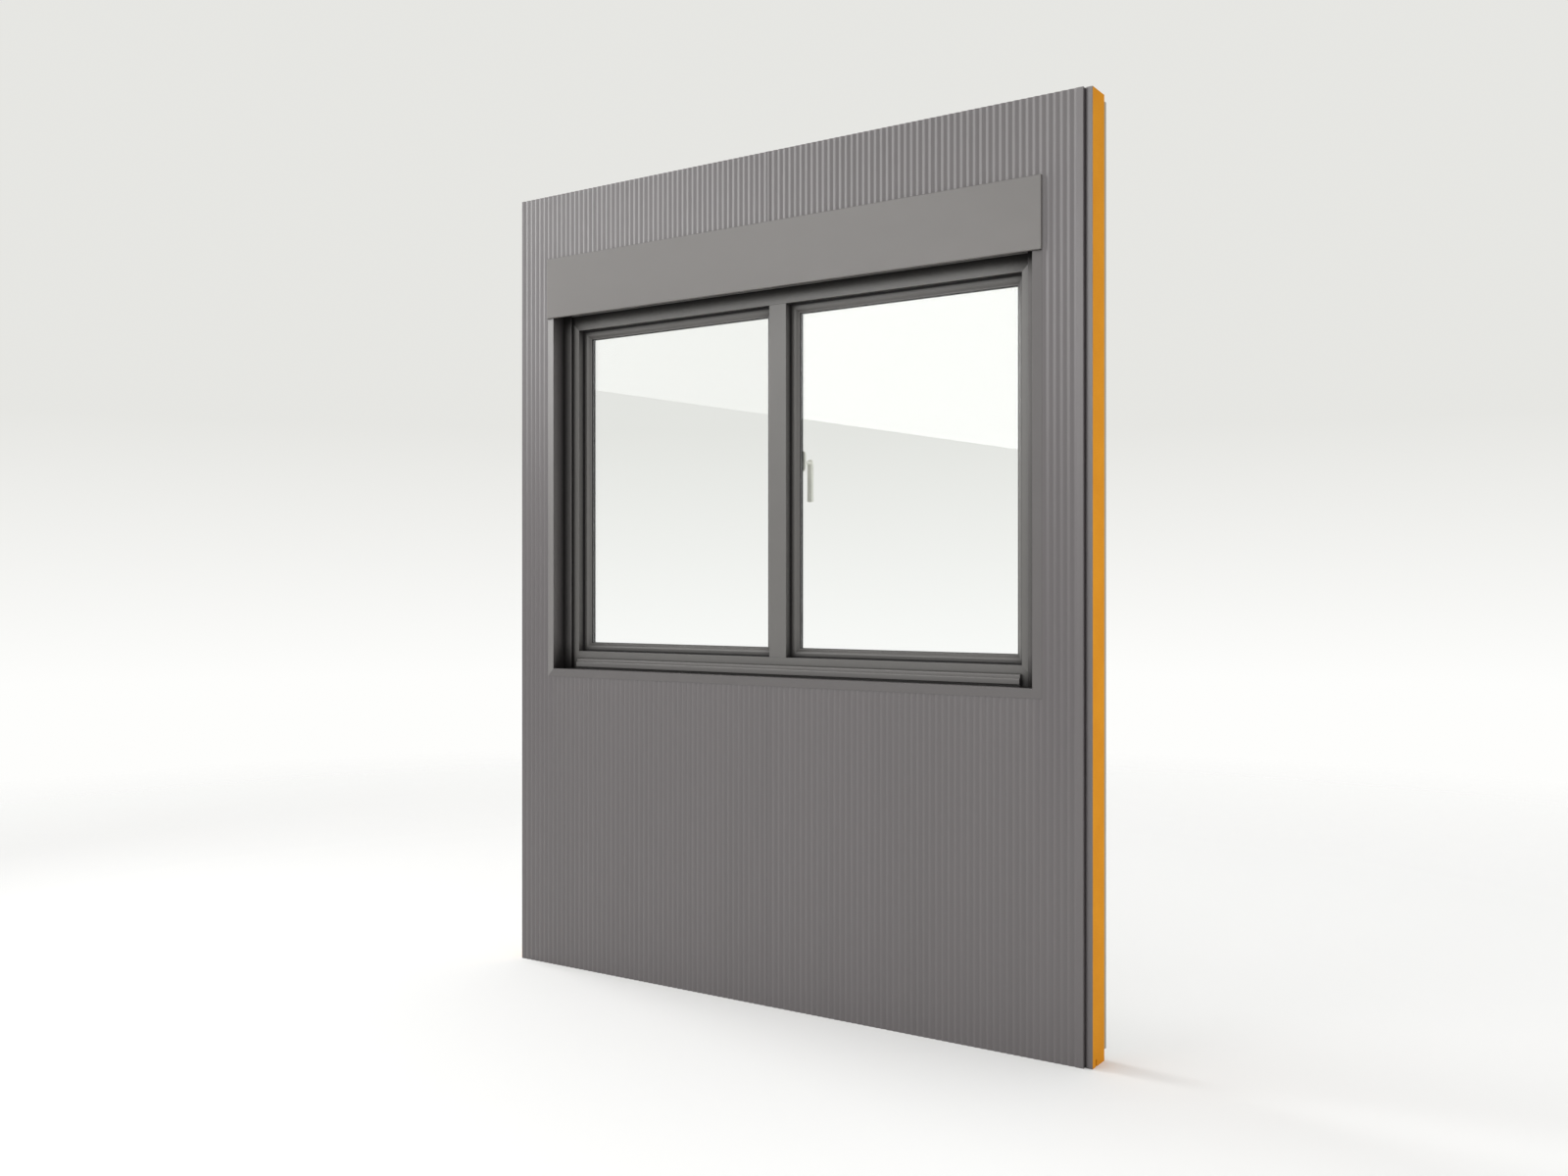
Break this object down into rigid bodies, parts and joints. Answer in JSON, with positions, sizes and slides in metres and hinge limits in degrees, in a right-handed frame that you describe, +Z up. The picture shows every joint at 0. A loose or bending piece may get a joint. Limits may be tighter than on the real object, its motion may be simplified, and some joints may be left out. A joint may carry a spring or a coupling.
{
  "type": "insulated wall element with sliding window and roller shutter",
  "caption": "Free-standing insulated wall element of vertically ribbed panels with a two-light sliding window under a flat roller-shutter cover.",
  "frame": {"origin": "on the floor, at the joint between the two panels and half way through the wall", "axes": "+X along the wall to the right seen from outside, +Y from the weather side into the room, +Z up"},
  "size_m": [2.017, 0.1975, 2.55],
  "materials": {
    "coated_sheet": "satin coil coating",
    "foam_core": "cut rigid foam",
    "lining_board": "melamine faced board",
    "casing_metal": "satin coil coating",
    "cover_metal": "satin powder coat",
    "box_plastic": "moulded",
    "slat_metal": "satin paint",
    "rail_metal": "satin powder coat",
    "track_metal": "natural anodised",
    "frame_plastic": "fine grained foil",
    "sill_plastic": "fine grained foil",
    "glass": "clear float glass",
    "seal_rubber": "soft cellular strip",
    "handle_plastic": "moulded"
  },
  "bodies": {
    "root": {"casing_bottom": "casing_metal", "casing_left": "casing_metal", "casing_right": "casing_metal", "fixed_glazing": "glass", "fixed_sash_bottom": "frame_plastic", "fixed_sash_head": "frame_plastic", "fixed_sash_left": "frame_plastic", "fixed_sash_right": "frame_plastic", "frame_bottom": "frame_plastic", "frame_head": "frame_plastic", "frame_left": "frame_plastic", "frame_right": "frame_plastic", "guide_rail_left": "rail_metal", "guide_rail_right": "rail_metal", "handle_lever": "handle_plastic", "handle_rose": "handle_plastic", "left_core_breast": "foam_core", "left_core_head": "foam_core", "left_core_side": "foam_core", "left_joint_seal": "seal_rubber", "left_outer_sheet": "coated_sheet", "lining_breast": "lining_board", "lining_head": "lining_board", "lining_left": "lining_board", "lining_right": "lining_board", "mullion": "frame_plastic", "reveal_cheek_left": "casing_metal", "reveal_cheek_right": "casing_metal", "right_core_breast": "foam_core", "right_core_head": "foam_core", "right_core_side": "foam_core", "right_joint_seal": "seal_rubber", "right_outer_sheet": "coated_sheet", "room_casing_bottom": "casing_metal", "room_casing_left": "casing_metal", "room_casing_right": "casing_metal", "running_rail": "track_metal", "shutter_box_back": "box_plastic", "shutter_box_floor": "box_plastic", "shutter_box_left_end": "box_plastic", "shutter_box_right_end": "box_plastic", "shutter_box_roof": "box_plastic", "shutter_cover": "cover_metal", "shutter_end_slat": "slat_metal", "shutter_roll": "slat_metal", "shutter_slats": "slat_metal", "sill": "sill_plastic", "sliding_glazing": "glass", "sliding_sash_bottom": "frame_plastic", "sliding_sash_head": "frame_plastic", "sliding_sash_left": "frame_plastic", "sliding_sash_right": "frame_plastic", "upper_guide": "track_metal"}
  },
  "joints": []
}
